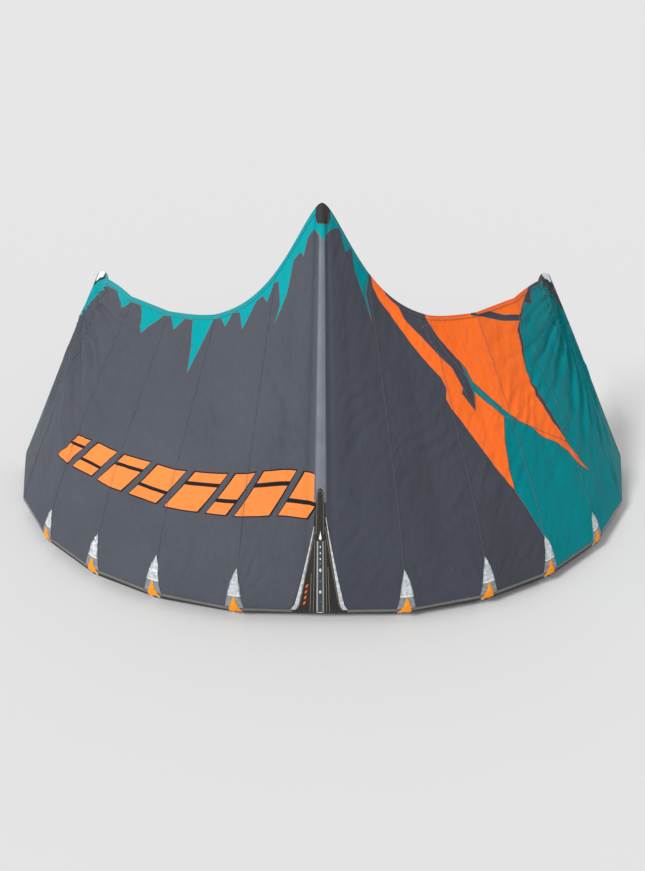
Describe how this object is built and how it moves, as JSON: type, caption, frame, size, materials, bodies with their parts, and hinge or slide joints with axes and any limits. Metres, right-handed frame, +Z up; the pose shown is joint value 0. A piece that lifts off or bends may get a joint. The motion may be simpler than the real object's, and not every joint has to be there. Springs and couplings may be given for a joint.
{
  "type": "kitesurf kite",
  "caption": "Single-strut inflatable kitesurf kite parked on its leading edge, with a scalloped trailing edge, printed canopy, seam flashes, inflation valve and one-pump hose.",
  "frame": {"origin": "middle of the footprint, on the floor", "axes": "+X across the span, right wingtip on +X seen from in front of the leading edge; +Y behind the leading edge; +Z up"},
  "size_m": [3.7788, 2.0277, 1.8282],
  "materials": {
    "black_dacron": "black woven polyester sailcloth",
    "bladder_film": "milky polyurethane film",
    "canopy_cloth_left": "ripstop canopy cloth, mid grey print",
    "canopy_cloth_right": "ripstop canopy cloth, dark grey, teal and orange print",
    "clamp_plastic": "black moulded plastic",
    "gauge_print": "dark printed film with pale marks",
    "hem_tape": "dark hem tape",
    "hose_film": "milky polyurethane hose",
    "lever_plastic": "orange moulded plastic",
    "reflective_flash": "silver reflective film with an orange insert",
    "seam_tape": "grey woven seam tape",
    "strut_dacron": "grey woven polyester sailcloth",
    "strut_strip": "light grey woven strip",
    "valve_base": "black polyurethane",
    "valve_plastic": "teal moulded plastic",
    "valve_rubber": "soft black rubber",
    "webbing": "black webbing",
    "white_patch": "white sailcloth patch"
  },
  "bodies": {
    "kite": {"canopy_left_1": "canopy_cloth_left", "canopy_left_2": "canopy_cloth_left", "canopy_left_3": "canopy_cloth_left", "canopy_left_4": "canopy_cloth_left", "canopy_left_5": "canopy_cloth_left", "canopy_left_6": "canopy_cloth_left", "canopy_right_1": "canopy_cloth_right", "canopy_right_2": "canopy_cloth_right", "canopy_right_3": "canopy_cloth_right", "canopy_right_4": "canopy_cloth_right", "canopy_right_5": "canopy_cloth_right", "canopy_right_6": "canopy_cloth_right", "front_bridle_loops_left": "webbing", "front_bridle_loops_right": "webbing", "hose_clamp_body": "clamp_plastic", "hose_fittings": "clamp_plastic", "inflation_gauge": "gauge_print", "leading_edge_bladder": "bladder_film", "leading_edge_center": "black_dacron", "leading_edge_end_left": "black_dacron", "leading_edge_end_right": "black_dacron", "leading_edge_left_1": "black_dacron", "leading_edge_left_2": "black_dacron", "leading_edge_left_3": "black_dacron", "leading_edge_left_4": "black_dacron", "leading_edge_left_5": "black_dacron", "leading_edge_right_1": "black_dacron", "leading_edge_right_2": "black_dacron", "leading_edge_right_3": "black_dacron", "leading_edge_right_4": "black_dacron", "leading_edge_right_5": "black_dacron", "leading_edge_tape_left": "seam_tape", "leading_edge_tape_right": "seam_tape", "one_pump_hose": "hose_film", "pump_leash_loop": "webbing", "rear_line_loop_left": "webbing", "rear_line_loop_right": "webbing", "reflective_flashes_left": "reflective_flash", "reflective_flashes_right": "reflective_flash", "strut_attachment_strip": "strut_strip", "strut_bladder": "bladder_film", "strut_end_cap": "black_dacron", "strut_root_patch": "black_dacron", "strut_sleeve": "strut_dacron", "trailing_edge_tape_left": "hem_tape", "trailing_edge_tape_right": "hem_tape", "valve_flange": "valve_base", "valve_socket": "valve_base", "wingtip_corner_patch_left": "white_patch", "wingtip_corner_patch_right": "white_patch", "wingtip_hem_left": "hem_tape", "wingtip_hem_right": "hem_tape"},
    "valve_insert": {"valve_insert": "valve_plastic"},
    "valve_flap": {"valve_flap": "valve_rubber"},
    "valve_cap": {"valve_cap": "valve_plastic"},
    "clamp_lever": {"hose_clamp_lever": "lever_plastic"}
  },
  "joints": [
    {"name": "valve_insert_turn", "type": "hinge", "parent": "kite", "child": "valve_insert", "pos_m": [0.23, -0.82713, 0.1877], "axis": [0, 0.6428, 0.766], "range_deg": [0, 60]},
    {"name": "valve_flap_hinge", "type": "hinge", "parent": "kite", "child": "valve_flap", "pos_m": [0.245, -0.84674, 0.16434], "axis": [0, 0.766, -0.6428], "range_deg": [-55, 0], "stiffness_Nm_per_rad": 0.004},
    {"name": "valve_cap_swing", "type": "hinge", "parent": "kite", "child": "valve_cap", "pos_m": [0.202, -0.82681, 0.18809], "axis": [0, 0.766, -0.6428], "range_deg": [0, 110]},
    {"name": "clamp_lever_swing", "type": "hinge", "parent": "kite", "child": "clamp_lever", "pos_m": [-0.15, -0.88678, 0.24513], "axis": [1, 0, 0], "range_deg": [-75, 0]}
  ]
}
